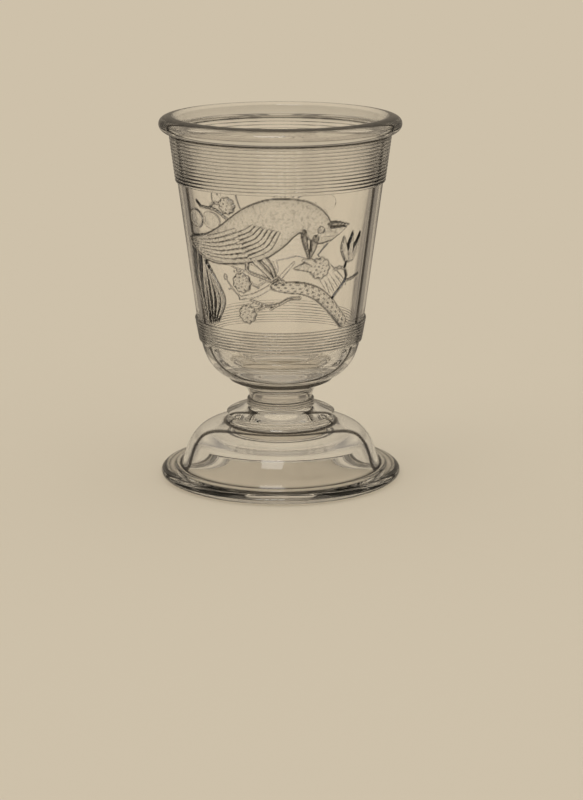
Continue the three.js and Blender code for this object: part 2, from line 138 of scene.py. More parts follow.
def edgeShade(tree, coordinates, look):
    # painted shade where the glass is seen edge on; only for walls that face away from the axis, not for the
    # inside of the cup
    edgeOn = addNode(tree, "ShaderNodeLayerWeight", {"Blend": 0.5}).outputs["Facing"]
    ramp = addNode(tree, "ShaderNodeValToRGB", {"Fac": edgeOn})
    stops = ramp.color_ramp.elements
    for index, (facing, darkness) in enumerate(look["edgeShading"]):
        stop = stops[index] if index < 2 else stops.new(facing)
        stop.position = facing
        stop.color = (darkness, darkness, darkness, 1)
    fromAxis = addNode(tree, "ShaderNodeVectorMath", {0: coordinates.outputs["Object"], 1: (1, 1, 0)},
                       operation="MULTIPLY").outputs[0]
    outward = addNode(tree, "ShaderNodeVectorMath", {0: fromAxis, 1: coordinates.outputs["Normal"]},
                      operation="DOT_PRODUCT").outputs["Value"]
    return maths(tree, "MULTIPLY", ramp.outputs["Color"], maths(tree, "GREATER_THAN", outward, 0.0))


def emptyTree(owner):
    owner.use_nodes = True
    owner.node_tree.nodes.clear()
    return owner.node_tree


def glassMaterial(name, tint, look, isFrosted=False):
    material = bpy.data.materials.new(name)
    tree = emptyTree(material)
    coordinates = addNode(tree, "ShaderNodeTexCoord")
    place = coordinates.outputs["Object"]
    ripple = noise(tree, place, look["rippleSize"], look["rippleDetail"], look["rippleRoughness"])
    normal = bumped(tree, ripple, look["rippleHeight"])
    roughness = look["roughness"]
    paintedShade = attributeOf(tree, "paintedShade")
    if isFrosted:
        paintedShade, normal, roughness = frosted(tree, place, paintedShade, normal, look)
    paintedShade = maths(tree, "ADD", paintedShade, edgeShade(tree, coordinates, look), clamp=True)
    # the painted shade darkens the glass's colour towards the shade colour
    glass = addNode(tree, "ShaderNodeBsdfPrincipled",
                    {"Base Color": mixedColour(tree, paintedShade, tint, look["paintedShadeColour"]),
                     "Roughness": roughness, "IOR": look["ior"], "Transmission Weight": 1.0,
                     "Normal": normal})
    through = addNode(tree, "ShaderNodeBsdfTransparent", {"Color": look["shadowTint"]})
    isShadow = addNode(tree, "ShaderNodeLightPath").outputs["Is Shadow Ray"]
    mix = addNode(tree, "ShaderNodeMixShader", {0: isShadow, 1: glass.outputs[0], 2: through.outputs[0]})
    addNode(tree, "ShaderNodeOutputMaterial", {"Surface": mix.outputs[0]})
    return material


def seamMaterial():
    # two pieces joined hot have no surface between them, so light passes their seam unbent
    material = bpy.data.materials.new("hotJoint")
    tree = emptyTree(material)
    through = addNode(tree, "ShaderNodeBsdfTransparent", {"Color": (1, 1, 1, 1)})
    addNode(tree, "ShaderNodeOutputMaterial", {"Surface": through.outputs[0]})
    return material


seam = seamMaterial()
bowlGlass = glassMaterial("bowlGlass", glassLook["bowlTint"], glassLook, isFrosted=True)
stemGlass = glassMaterial("stemGlass", glassLook["stemTint"], glassLook)
footGlass = glassMaterial("footGlass", glassLook["footTint"], glassLook)
print("materials made")


# Outlines
def bend(start, end, handleA, handleB, steps):
    # points of a cubic; its handles are shares of the way across and up, and the start is left out
    span = np.subtract(end, start)
    a, b = np.array(start), np.array(end)
    h1, h2 = a + span * handleA, a + span * handleB
    points = []
    for i in range(1, steps + 1):
        t = i / steps
        s = 1 - t
        points.append(tuple(s**3 * a + 3 * s * s * t * h1 + 3 * s * t * t * h2 + t**3 * b))
    return points


def reeds(start, end, count, depth, steps=6):
    # half-round reeds with sharp grooves between them
    a, b = np.array(start), np.array(end)
    points = []
    for i in range(count):
        for k in range(steps):
            turn = math.pi * k / steps
            share = (i + (1 - math.cos(turn)) / 2) / count
            point = a + (b - a) * share
            points.append((point[0] + depth * math.sin(turn), point[1]))
    return points + [tuple(b)]


# Turning
def startPiece(layers):
    bm = bmesh.new()
    for layer in layers:
        bm.verts.layers.float.new(layer)
    return bm


def sweepOutline(bm, outline, facets):
    # spins a chain of edges about the piece's axis
    ring = [bm.verts.new((0, -r, z)) for r, z in outline]
    chain = ring + [bm.edges.new(pair) for pair in zip(ring, ring[1:])]
    bmesh.ops.spin(bm, geom=chain, cent=(0, 0, 0), axis=(0, 0, 1), dvec=(0, 0, 0),
                   angle=2 * math.pi, steps=facets, use_merge=True, use_duplicate=False)


def paintShadeRings(bm, layer, rings):
    # rings of painted shade: radius, height, reach and darkness
    shadeLayer = bm.verts.layers.float[layer]
    for radius, height, reach, darkness in rings:
        for v in bm.verts:
            away = math.hypot(v.co.xy.length - radius, v.co.z - height)
            v[shadeLayer] = max(v[shadeLayer], darkness * max(0.0, 1 - away / reach))


def mergePoints(bm):
    bmesh.ops.remove_doubles(bm, verts=bm.verts, dist=2 * hair)


def finishPiece(bm, name, glass, seams, sharpAngle=50):
    # seams are the height and radius of the faces at which the piece is joined to its neighbours
    mergePoints(bm)
    bmesh.ops.recalc_face_normals(bm, faces=bm.faces)
    for edge in bm.edges:
        edge.smooth = len(edge.link_faces) < 2 or edge.calc_face_angle(0) < math.radians(sharpAngle)
    for face in bm.faces:
        face.smooth = True
        middle = face.calc_center_median()
        for height, radius in seams:
            isLevel = abs(middle.z - height) < 2 * seamGap and abs(face.normal.z) > 0.99
            if isLevel and middle.xy.length < radius:
                face.material_index = 1
    bmesh.ops.scale(bm, vec=(mm, mm, mm), verts=bm.verts)
    mesh = bpy.data.meshes.new(name)
    bm.to_mesh(mesh)
    bm.free()
    piece = bpy.data.objects.new(name, mesh)
    bpy.context.collection.objects.link(piece)
    for material in (glass, seam):
        mesh.materials.append(material)
    print(name, "made:", len(mesh.polygons), "faces")
    return piece


# Foot
footShape = {
    "radius": 46.59,
    "edge": 3.8,  # thickness of the rounded edge
    "flangeWidth": 7.6,
    "flangeDip": 0.5,
    "beadWidth": 2.2,  # bead round the dome's base
    "beadRise": 3.0,  # height of its curve's handles, as a multiple of the climb across it
    "beadLift": 0.2,
    "restWidth": 5.9,
    "restInset": 3.2,
    "haunchPlace": 0.4,  # share of the way up the dome's side
    "haunchBulge": (1.6, 4.8),
    "lowerDomeTop": 21.2,
    "domeTopInset": 0.3,
    "upperDomeRadius": 21.8,
    "stepHeight": 3.9,
    "stepInset": 0.9,
    "height": 28.0,
    "wall": 3.8,
    "haunchWall": 0.8,  # share of the wall, both inwards and down, at the haunch
    # reach and darkness of the painted shade lines; one past 1 is wider
    "sideShadeLine": (0.6, 0.8),
    "sideShadeLinePlace": 0.4,  # share of the edge's thickness
    "edgeTopShadeLine": (0.8, 0.8),
    "beadShadeLine": (0.7, 0.8),
    "baseShadeLine": (1.0, 1.6),
    "stepShadeLine": (1.0, 2.2),
    "facets": 144,
}


def footPoints(s):
    # where the outline's curves meet
    return {
        "edge": (s["radius"], s["edge"] / 2),
        "edgeTop": (s["radius"] - s["restInset"], s["edge"]),
        "beadFoot": (s["radius"] - s["flangeWidth"] + s["beadWidth"], s["edge"] + s["beadLift"]),
        "domeBase": (s["radius"] - s["flangeWidth"], s["edge"] + s["flangeDip"]),
        "domeTop": (s["upperDomeRadius"] - s["domeTopInset"], s["lowerDomeTop"]),
        "step": (s["upperDomeRadius"] - s["stepInset"], s["lowerDomeTop"] + s["stepHeight"]),
    }


def footOutline(s):
    at = footPoints(s)
    climb = np.subtract(at["domeTop"], at["domeBase"])
    haunch = tuple(at["domeBase"] + s["haunchPlace"] * climb + s["haunchBulge"])
    join = (stemShape["footRadius"], s["height"] - seamGap)
    restOuter = (s["radius"] - s["restInset"], 0)
    restInner = (restOuter[0] - s["restWidth"], 0)
    hollowSide = (haunch[0] - s["wall"] * s["haunchWall"], haunch[1] - s["wall"] * s["haunchWall"])
    hollowTop = (0, s["lowerDomeTop"] - s["wall"] / 2)
    return [
        hollowTop,
        *bend(hollowTop, hollowSide, (0.4, 0), (0.7, 0.2), 14),
        *bend(hollowSide, restInner, (0.5, 0.35), (0.8, 0.8), 12),
        restOuter,
        *bend(restOuter, at["edge"], (0.55, 0), (1, 0.45), 8),
        *bend(at["edge"], at["edgeTop"], (0, 0.55), (0.45, 1), 8),
        *bend(at["edgeTop"], at["beadFoot"], (0.4, 0.3), (0.7, 0.8), 5),
        *bend(at["beadFoot"], at["domeBase"], (0.05, s["beadRise"]), (0.8, s["beadRise"]), 8),
        *bend(at["domeBase"], haunch, (0.3, 0.18), (0.34, 0.64), 14),
        *bend(haunch, at["domeTop"], (0.24, 0.72), (0.64, 0.95), 14),
        *bend(at["domeTop"], at["step"], (2.2, 0.2), (2.4, 0.75), 10),
        *bend(at["step"], join, (0.4, 0.75), (0.8, 0.58), 12),
        (0, s["height"] - seamGap),
    ]


def makeFoot(s):
    at = footPoints(s)
    bm = startPiece(["paintedShade"])
    sweepOutline(bm, footOutline(s), s["facets"])
    paintShadeRings(bm, "paintedShade", [(s["radius"], s["edge"] * s["sideShadeLinePlace"], *s["sideShadeLine"]),
                               (*at["edgeTop"], *s["edgeTopShadeLine"]),
                               (*at["beadFoot"], *s["beadShadeLine"]),
                               (*at["domeBase"], *s["baseShadeLine"]),
                               (*at["domeTop"], *s["stepShadeLine"])])
    return finishPiece(bm, "footBody", footGlass, [(s["height"], stemShape["footRadius"])])


# Stem
stemShape = {
    "height": 10.2,
    "footRadius": 12.9,
    "rings": 3,
    "ringBandHeight": 2.6,
    "ringDepth": 0.4,
    "neckRadius": 12.1,
    "topRadius": 18.6,
    "topLand": 0.5,
    "paintedShade": (0.6, 1.8),  # reach and darkness of the painted shade lines between the rings and under the top
    "facets": 144,
}
stemTop = footShape["height"] + stemShape["height"]


def stemOutline(s):
    bottom = footShape["height"] + seamGap
    bandTop = (s["neckRadius"] + s["ringDepth"], footShape["height"] + s["ringBandHeight"])
    neck = (s["neckRadius"], bandTop[1])
    flare = (s["topRadius"], stemTop - s["topLand"])
    return [
        (0, bottom),
        *reeds((s["footRadius"], bottom), bandTop, s["rings"], s["ringDepth"]),
        neck,
        *bend(neck, flare, (0, 0.5), (0.32, 0.8), 18),
        (s["topRadius"], stemTop - seamGap),
        (0, stemTop - seamGap),
    ]


def makeStem(s):
    bm = startPiece(["paintedShade"])
    sweepOutline(bm, stemOutline(s), s["facets"])
    grooves = [footShape["height"] + s["ringBandHeight"] * i / s["rings"] for i in range(1, s["rings"] + 1)]
    rings = [(s["neckRadius"] + s["ringDepth"], groove, *s["paintedShade"]) for groove in grooves]
    paintShadeRings(bm, "paintedShade", rings + [(s["topRadius"], stemTop - s["topLand"], *s["paintedShade"])])
    return finishPiece(bm, "stemBody", stemGlass,
                       [(footShape["height"], s["footRadius"]), (stemTop, s["topRadius"])])


# Bowl
bowlShape = {
    "ledgeRadius": 20.0,
    "ledgeHeight": 1.1,
    "ledgeRound": 0.3,
    "bottomHeight": 14.6,
    "bottomRadius": 30.6,
    "lowerBandHeight": 8.9,
    "lowerReeds": 8,
    "panelHeight": 52.4,
    "panelBottomRadius": 32.2,
    "panelTopRadius": 39.1,
    "upperBandHeight": 18.2,
    "upperReeds": 14,
    "bandProud": 0.3,
    "reedDepth": 0.5,
    "rimHeight": 6.6,
    "rimRadius": 46.0,
    "wall": 3.5,
    "floorThickness": 8.3,
    "floorRadius": 17.0,
    "lipRound": 1.8,
    "mouthDrop": 1.26,  # from the rim's top to where the inner wall begins
    # reach and darkness of the painted shade lines; one past 1 is wider
    "grooveShadeLine": (0.2, 0.7),
    "ledgeShadeLine": (1.2, 2.2),
    "rimFootShadeLine": (1.2, 1.8),
    "rimFootShadeLineShift": (0.3, 0.2),
    "rimTopShadeLine": (2.6, 1.8),
    "rimTopShadeLineShift": 2.4,
    "mouthShadeLine": (0.6, 0.4),
    "facets": 128,
    "panelRows": 134,
    "figureTurn": 134.0,  # degrees of the panel that a figure covers
    "figureSteps": 246,
    "plainSteps": 8,
}
panelBottom = stemTop + bowlShape["ledgeHeight"] + bowlShape["bottomHeight"] + bowlShape["lowerBandHeight"]
panelTop = panelBottom + bowlShape["panelHeight"]
panelSlope = (bowlShape["panelTopRadius"] - bowlShape["panelBottomRadius"]) / bowlShape["panelHeight"]
panelMiddle = (bowlShape["panelTopRadius"] + bowlShape["panelBottomRadius"]) / 2
upperBandTop = panelTop + bowlShape["upperBandHeight"]
upperBandRadius = bowlShape["panelTopRadius"] + bowlShape["upperBandHeight"] * panelSlope
rimTop = upperBandTop + bowlShape["rimHeight"]
mouthRadius = upperBandRadius + bowlShape["rimHeight"] * panelSlope - bowlShape["wall"]


def bowlBelowPanel(s):
    bottom = stemTop + seamGap
    ledge = (s["ledgeRadius"], stemTop + s["ledgeHeight"])
    bottomTop = (s["bottomRadius"], ledge[1] + s["bottomHeight"])
    bandFoot = (s["bottomRadius"] + s["bandProud"], bottomTop[1])
    bandHead = (s["panelBottomRadius"] + s["bandProud"], panelBottom)
    return [
        (0, bottom),
        (stemShape["topRadius"], bottom),
        (s["ledgeRadius"] - s["ledgeRound"], bottom),
        (s["ledgeRadius"], bottom + s["ledgeRound"]),
        ledge,
        *bend(ledge, bottomTop, (0.45, 0.12), (0.86, 0.42), 16),
        *reeds(bandFoot, bandHead, s["lowerReeds"], s["reedDepth"]),
    ]


def bowlAbovePanel(s):
    bandFoot = (s["panelTopRadius"] + s["bandProud"], panelTop)
    bandHead = (upperBandRadius + s["bandProud"], upperBandTop)
    rimSide = (s["rimRadius"], upperBandTop + s["rimHeight"] / 2)
    rimCrown = (mouthRadius + s["lipRound"], rimTop)
    mouth = (mouthRadius, rimTop - s["mouthDrop"])
    innerSpring = (s["bottomRadius"] + panelSlope * s["lowerBandHeight"] - s["wall"], panelBottom)
    innerFloor = (s["floorRadius"], stemTop + s["floorThickness"])
    return [
        *reeds(bandFoot, bandHead, s["upperReeds"], s["reedDepth"]),
        *bend(bandHead, rimSide, (0.45, 0.05), (0.95, 0.4), 10),
        *bend(rimSide, rimCrown, (-0.02, 0.7), (0.4, 1), 12),
        *bend(rimCrown, mouth, (0.5, 0), (1, 0.5), 6),
        *bend(mouth, innerSpring, (0.35, 0.35), (0.8, 0.72), 10),
        *bend(innerSpring, innerFloor, (0.14, 0.55), (0.45, 1), 16),
        (0, innerFloor[1]),
    ]


def loopAt(bm, height, radius):
    # the open loop of edges at a height and radius
    def isOnLoop(v):
        return abs(v.co.z - height) < hair and abs(v.co.xy.length - radius) < hair

    return [edge for edge in bm.edges if len(edge.link_faces) == 1 and all(map(isOnLoop, edge.verts))]


def rollPanel(bm, s):
    # a flat grid rolled round the taper, its columns close together where a figure stands
    columns = 2 * (s["figureSteps"] + s["plainSteps"])
    grid = bmesh.ops.create_grid(bm, x_segments=columns, y_segments=s["panelRows"], size=1)
    halfFigure, half = s["figureSteps"] / 2, columns / 2
    knots = [0, halfFigure, half - halfFigure, half + halfFigure, columns - halfFigure, columns]
    halfTurn = math.radians(s["figureTurn"] / 2)
    turns = [0, halfTurn, math.pi - halfTurn, math.pi + halfTurn, 2 * math.pi - halfTurn, 2 * math.pi]
    for v in grid["verts"]:
        share = (v.co.y + 1) / 2
        turn = float(np.interp((v.co.x + 1) / 2 * columns, knots, turns))
        radius = s["panelBottomRadius"] + panelSlope * s["panelHeight"] * share
        v.co = (radius * math.sin(turn), -radius * math.cos(turn), panelBottom + s["panelHeight"] * share)


def shadeReedGrooves(bm, s):
    # painted shade in the grooves between the reeds
    shadeLayer = bm.verts.layers.float["paintedShade"]
    reach, darkness = s["grooveShadeLine"]
    lowerFoot, upperTop = panelBottom - s["lowerBandHeight"], upperBandTop
    bands = ((s["lowerReeds"], lowerFoot, panelBottom, s["bottomRadius"], s["panelBottomRadius"]),
             (s["upperReeds"], panelTop, upperTop, s["panelTopRadius"], upperBandRadius))
    for count, low, high, lowRadius, highRadius in bands:
        for v in bm.verts:
            share = (v.co.z - low) / (high - low)
            radius = lowRadius + (highRadius - lowRadius) * share
            if -hair < share < 1 + hair and v.co.xy.length > radius + s["bandProud"] / 2:
                nearGroove = abs(share * count - round(share * count)) / count * (high - low)
                v[shadeLayer] = max(0.0, 1 - nearGroove / reach) * darkness


# The bowl's relief. Strokes run through stations of across, up, half width and height, in
# millimetres on the unrolled panel from its middle line and its lower edge.
def fan(count, first, last):
    # strokes spread evenly between the first and the last one
    first, last = np.array(first, float), np.array(last, float)
    return [first + (last - first) * (i / (count - 1)) for i in range(count)]


bowedBird = {
    "side": 0.0,
    # outline of body and head, from the tail's root over the back to the crest, beak and belly
    "body": [(-40.2, 34.4), (-30.5, 36.2), (-24.2, 39.1), (-19.6, 42.3), (-14.8, 46.1), (-10.5, 48.7),
             (-5.9, 50.7), (-1.5, 51.5), (3.5, 51.4), (7.9, 50.7), (11.4, 49.3), (14.5, 47.1),
             (16.9, 44.6), (18.4, 41.6), (18.4, 39.4), (20.6, 38), (20.2, 35.8), (16.8, 34.4),
             (13.4, 34.2), (10.2, 36), (7.4, 38.4), (4.8, 36.9), (1.9, 33.8), (-1.6, 31), (-5.2, 28.7),
             (-10.2, 27.2), (-15.5, 26.2), (-21.2, 25.6), (-26, 25.4), (-32.3, 26.6), (-37.6, 29.4),
             (-40.6, 32)],
    "raised": [
        # crest, then the two halves of the beak
        [(17.4, 41.4, 0.9, 1.35), (21.4, 41, 0.9, 1.2), (26.2, 40.2, 0.3, 0.8)],
        [(17.2, 38.2, 2, 1.3), (20.8, 38.2, 1.8, 1.2), (25.4, 39.8, 0.4, 0.8)],
        [(15.6, 36, 1.4, 1.2), (19, 36.3, 1.2, 1.1), (22.6, 38, 0.4, 0.8)],
        [(8.2, 39.2, 1, 1.3), (9, 34.6, 0.85, 1.1), (10.6, 28.8, 0.3, 0.6)],
        [(12.6, 36.6, 1.5, 1.3), (12.1, 32.8, 1.15, 1.05), (11.1, 28.8, 0.3, 0.6)],
        # legs and toes
        [(-9, 27.6, 1.3, 0.95), (-6, 24.6, 1, 0.9), (-2.8, 20.9, 0.7, 0.85)],
        [(-5.6, 28.4, 1.3, 0.95), (-3.4, 25.6, 0.9, 0.9), (-1.8, 21.4, 0.6, 0.85)],
        [(-12.4, 27, 0.7, 0.85), (-12.2, 23.8, 0.5, 0.8), (-7.4, 21.8, 0.5, 0.8), (-3, 20.2, 0.6, 0.8)],
        [(-3.6, 20.2, 0.6, 1.2), (-1.2, 21.6, 0.6, 1.2), (1, 19.4, 0.4, 1)],
        [(-2, 19.4, 0.5, 1.2), (0.8, 20.2, 0.5, 1.2), (2.8, 18.4, 0.4, 1)],
    ],
    "feathers": [
        # over the body: flight feathers, then wing coverts and the wing's front edge
        *fan(7, [(-16, 39.2, 0.75, 0.3), (-24, 36.2, 0.85, 0.34), (-31, 34.6, 0.8, 0.3),
                 (-39.4, 33.4, 0.4, 0.2)],
             [(-11.2, 28.2, 0.8, 0.34), (-20, 27.2, 0.9, 0.34), (-30, 28.2, 0.8, 0.3),
              (-38.6, 31, 0.4, 0.2)]),
        *fan(7, [(-9.4, 41, 0.7, 0.42), (-11.4, 39.4, 0.85, 0.5), (-16.6, 37.2, 0.6, 0.34)],
             [(-0.6, 38.8, 0.7, 0.42), (-4.2, 32.8, 0.95, 0.5), (-11.4, 29, 0.6, 0.34)]),
    ],
    "plumes": [
        # tail feathers, which start beneath the body
        *fan(3, [(-38.9, 31, 1.3, 0.95), (-39.4, 18, 1.5, 1), (-35, 2.4, 0.8, 0.7)],
             [(-31.4, 31, 1.3, 0.95), (-33.2, 15, 1.5, 1), (-33.6, 1.6, 0.7, 0.7)]),
        *fan(4, [(-31.6, 25.6, 0.9, 0.95), (-31.2, 12, 1.1, 1), (-31.6, 2, 0.6, 0.7)],
             [(-28.4, 20.8, 0.8, 0.95), (-24.1, 11.6, 1.1, 1), (-28, 3, 0.6, 0.7)]),
    ],
    "branches": [
        [(-2.4, 18, 1.3, 0.75), (2.6, 17.8, 2.1, 1.05), (9, 17.1, 2.3, 1.2), (14.6, 14.8, 2.4, 1.2),
         (19.4, 11, 2.4, 1.2), (23.4, 7, 2.3, 1.2), (28, 2.6, 2.3, 1)],
        [(7.6, 13.4, 0.6, 0.7), (3.4, 13.2, 0.5, 0.65), (-0.4, 11.3, 0.5, 0.65), (-5.6, 10.6, 0.45, 0.65),
         (-11.6, 12.6, 0.35, 0.5)],
        [(-0.6, 11.2, 0.4, 0.6), (-3.6, 9.4, 0.35, 0.5)],
        [(-6, 10.4, 0.4, 0.6), (-9, 8.8, 0.4, 0.5)],
        [(22, 10.6, 0.6, 0.75), (22.2, 13.2, 0.5, 0.7), (25.4, 16.6, 0.45, 0.65), (27.8, 20, 0.45, 0.65),
         (26.6, 23.8, 0.45, 0.65), (28, 27.6, 0.5, 0.75)],
        [(27.6, 18.6, 0.45, 0.6), (31, 19, 0.4, 0.6), (35, 20.2, 0.35, 0.5)],
        [(21.6, 23.6, 0.4, 0.6), (24, 24, 0.4, 0.6), (26.6, 23.2, 0.35, 0.5)],
        [(-19.6, 43.2, 0.5, 0.65), (-24.6, 46.2, 0.5, 0.65), (-31, 46.4, 0.35, 0.5)],
        [(-26.4, 46.4, 0.4, 0.6), (-24.8, 48.4, 0.4, 0.5), (-21.6, 48.6, 0.35, 0.5)],
        [(-31, 46.4, 0.4, 0.5), (-33.4, 48.4, 0.35, 0.5)],
    ],
    "petals": [
        # bud, then the open flower beside the branch
        [(26.8, 27.2, 1.3, 0.6), (25.2, 31.4, 1.6, 0.65), (24.8, 35.6, 0.4, 0.4)],
        [(28.4, 27, 1.4, 0.7), (28.2, 31.8, 1.6, 0.8), (29, 37, 0.4, 0.45)],
        [(30, 27.2, 1.3, 0.6), (31.8, 31.4, 1.5, 0.65), (33.2, 36.4, 0.4, 0.4)],
        [(29.4, 28, 1, 0.8), (30.2, 31, 1.1, 0.9), (32.2, 33.4, 0.4, 0.55)],
        [(13.6, 23.8, 1.1, 0.85), (9.4, 25.4, 1.5, 0.9), (5.4, 25, 0.4, 0.5)],
        [(14, 24.4, 1, 0.85), (11.4, 27.2, 1.3, 0.9), (8.6, 28, 0.4, 0.5)],
    ],
    "leaves": [(-34.4, 41.6, 4, 3.6), (-26.4, 41.8, 4.4, 3.4)],
    "eye": (14.4, 39.4),
    "dark": (0, 3, 4),  # raised strokes that get painted shade
    "barked": 0,  # the branch that has bark
    "blossoms": [(-14.9, 19, 3.9), (-13.2, 7.1, 3.7), (-19, 48, 3.3), (15.2, 24.6, 4.2)],
}
lookingBird = {
    "side": math.pi,
    "body": [(32.6, 42.5), (32, 38.6), (30.6, 33.6), (28.8, 26.9), (26.3, 22.3), (23.1, 18.5),
             (19.9, 15.7), (15.4, 13.9), (10.5, 13.1), (5.7, 13.6), (1.6, 14.6), (-3, 15.4), (-7.6, 16.3),
             (-12.5, 15.4), (-16.1, 16.4), (-19.8, 20.1), (-22.4, 23.4), (-19.6, 27), (-11.8, 30),
             (-3.9, 31.2), (1.5, 32), (5.3, 32.8), (9.7, 33.4), (14.2, 34.2), (17.2, 36), (18.4, 39.4),
             (19.4, 43), (21.4, 45), (25.4, 46), (29.6, 45.6)],
    "raised": [
        # crest, then the two halves of the beak
        [(25, 44.6, 1.7, 1.35), (20.8, 46.2, 1.3, 1.15), (15.2, 46.8, 0.4, 0.6)],
        [(27, 45.8, 1.3, 1.35), (31.4, 49, 1.3, 1.2), (38.4, 49.8, 0.4, 0.6)],
        [(30, 44.2, 1.3, 1.25), (33.6, 46.8, 1, 1), (38, 49.2, 0.3, 0.6)],
        # legs and toes
        [(2.6, 13.8, 1.2, 0.95), (1.8, 11, 0.7, 0.9), (4.8, 8.4, 0.6, 0.85), (10.6, 5.4, 0.6, 0.9)],
        [(5.7, 13, 0.8, 0.85), (7.6, 9.4, 0.5, 0.8), (9.8, 7.4, 0.5, 0.75)],
        [(14.8, 14.2, 1, 0.9), (17.5, 11.8, 0.6, 0.85), (23, 12, 0.4, 0.75)],
        [(10.6, 5, 0.6, 1.1), (14.4, 6.4, 0.6, 1.1), (18.6, 4.4, 0.4, 0.9)],
        [(18, 12, 0.5, 0.9), (20.4, 9.8, 0.5, 0.8), (22.4, 9.2, 0.4, 0.6)],
    ],
    "feathers": [
        *fan(7, [(-3.6, 30, 0.75, 0.32), (-10, 29.6, 0.85, 0.34), (-15, 29.4, 0.6, 0.3),
                 (-20, 28.4, 0.4, 0.2)],
             [(1, 17.2, 0.8, 0.32), (-6, 18.2, 0.9, 0.34), (-14, 20.2, 0.8, 0.3), (-24.6, 24, 0.4, 0.2)]),
        *fan(6, [(3.6, 29.8, 0.75, 0.42), (-1.4, 29.4, 0.85, 0.5), (-8.6, 28.4, 0.6, 0.34)],
             [(11, 19.6, 0.75, 0.42), (4.4, 18.6, 0.95, 0.5), (-3.4, 19.4, 0.6, 0.34)]),
        *fan(5, [(11.8, 30.4, 0.7, 0.5), (8.4, 29.4, 0.9, 0.62), (3.2, 27.6, 0.6, 0.4)],
             [(17.6, 24, 0.7, 0.5), (14, 22, 0.9, 0.62), (8.2, 21.4, 0.6, 0.4)]),
    ],
    "plumes": [
        *fan(5, [(-14.2, 17.6, 1.2, 0.95), (-24.6, 13.4, 1.4, 0.95), (-36.6, 9.2, 0.8, 0.7)],
             [(-13.2, 15.2, 1.1, 0.95), (-19.4, 9.4, 1.4, 0.95), (-25.4, 2.8, 0.8, 0.7)]),
    ],
    "branches": [
        [(-5.9, 14.2, 0.7, 0.7), (-1.9, 10.4, 0.9, 0.85), (2.9, 6.2, 1.1, 0.95), (9.7, 2.9, 1.2, 1),
         (14.8, 1.8, 1.1, 0.95), (20.6, 1.6, 0.8, 0.8)],
        [(20.4, 2.2, 0.6, 0.8), (23.8, 5, 0.5, 0.7), (26.6, 7.8, 0.4, 0.6), (28.2, 9.8, 0.35, 0.5)],
        [(24.6, 5.8, 0.4, 0.6), (27.2, 5.8, 0.35, 0.5)],
        [(19, 12.2, 0.45, 0.7), (22.4, 13.4, 0.4, 0.6), (25.8, 15, 0.35, 0.5)],
        # sprig above the back
        [(-2.8, 31.4, 1.4, 1.1), (-4, 37.2, 1.2, 1.05), (-8, 41, 1, 1), (-12.2, 45.8, 0.7, 0.8),
         (-17.6, 50.6, 0.35, 0.5)],
        [(-3, 34.8, 1, 0.95), (1.5, 40.5, 0.7, 0.8), (5.6, 45.4, 0.4, 0.6)],
        [(1.6, 40.6, 0.45, 0.65), (1.9, 47, 0.35, 0.5)],
        [(-8.4, 41.6, 0.45, 0.7), (-9.6, 45, 0.4, 0.6), (-9.9, 48.4, 0.35, 0.5)],
        [(-4.8, 38.4, 0.45, 0.7), (-6, 43.2, 0.4, 0.6), (-4.7, 47.6, 0.35, 0.5)],
        [(-7.4, 39.8, 0.5, 0.7), (-11.3, 41, 0.45, 0.6), (-16.3, 42.4, 0.35, 0.5)],
        [(-4, 34.2, 0.6, 0.8), (-11, 33.6, 0.45, 0.65), (-18.1, 33.9, 0.35, 0.5)],
        [(-6, 35.2, 0.45, 0.7), (-11.6, 35, 0.4, 0.6), (-14.8, 37.7, 0.35, 0.5)],
        [(-1.4, 37.4, 0.45, 0.65), (-1.7, 39.9, 0.4, 0.6), (-1.4, 43.2, 0.35, 0.5)],
        [(0.4, 38.8, 0.45, 0.65), (2.6, 39.6, 0.4, 0.6), (5.4, 41, 0.35, 0.5)],
    ],
    "petals": [],
    "leaves": [(-21.4, 38.6, 3.4, 3)],
    "eye": (27.6, 42.4),
    # raised strokes that get painted shade
    "dark": (0, 1, 2),
    "barked": 4,
    "blossoms": [(6, 46.6, 1.2), (-4.7, 48.6, 1.1), (-17.2, 42.8, 1.2), (-18.8, 34.2, 1.1),
                 (28.8, 10.6, 1.3)],
}
reliefShape = {
    "strokeEdge": 0.6,  # a stroke climbs to its height over this distance
    "crown": 0.3,  # how much a stroke falls off from its middle to its edge
    "featherTilt": 0.35,  # each feather leans under the next
    "bodyEdge": 0.8,  # bodies, leaves and blossoms climb over this one
    "bodyHeight": 0.8,
    "bodyCrown": 0.55,  # rise from a little inside the outline to the body's middle
    "bodyReach": 8.0,
    "leafHeight": 0.45,
    "leafDish": 0.75,  # share of the height by which a leaf's middle is lower
    "blossomHeight": 0.55,
    "blossomCrown": 0.4,
    "blossomLobes": 9,
    "lobeDepth": 0.06,
    "seedSpacing": 1.06,
    "seedField": 0.78,  # share of a blossom's radius that seeds fill
    "seedRadius": 0.3,
    "seedDepth": 0.15,
    "seedReach": 1.4,  # the part past 1 is the pit's flat bottom
    "eyeRadius": 0.8,
    "eyeHeight": 0.5,
    "eyeRing": 1.2,
    "eyeRingWidth": 0.42,
    "eyeRingDepth": 0.4,
    "barkRows": ((-0.6, 0.0), (-0.05, 0.35), (0.58, 0.7)),  # share of the half width, and shift
    "barkSpacing": 2.7,
    "barkWidth": 0.32,
    "barkDepth": 0.2,
    "barkReach": (1.6, 1.3),  # of a nick, along and across the branch; the part past 1 is its flat bottom
    "barkFall": 6.0,
    # darkness of the painted shade in seed pits, in bark nicks, on shaded strokes and inside a body's edge
    "seedShade": 0.9,
    "barkShade": 0.9,
    "strokeShade": 0.5,
    "bodyShade": 0.3,
    "bodyShadeReach": 3.2,
    "valleyShadeStep": 0.42,  # spacing at which the relief's valleys are looked for, to paint shade in them
    "valleyShadeScale": 1.5,
    "panelFade": 0.5,  # the relief ends softly at the panel's borders
    "fullFrost": 0.5,  # relief of this height is fully frosted
}


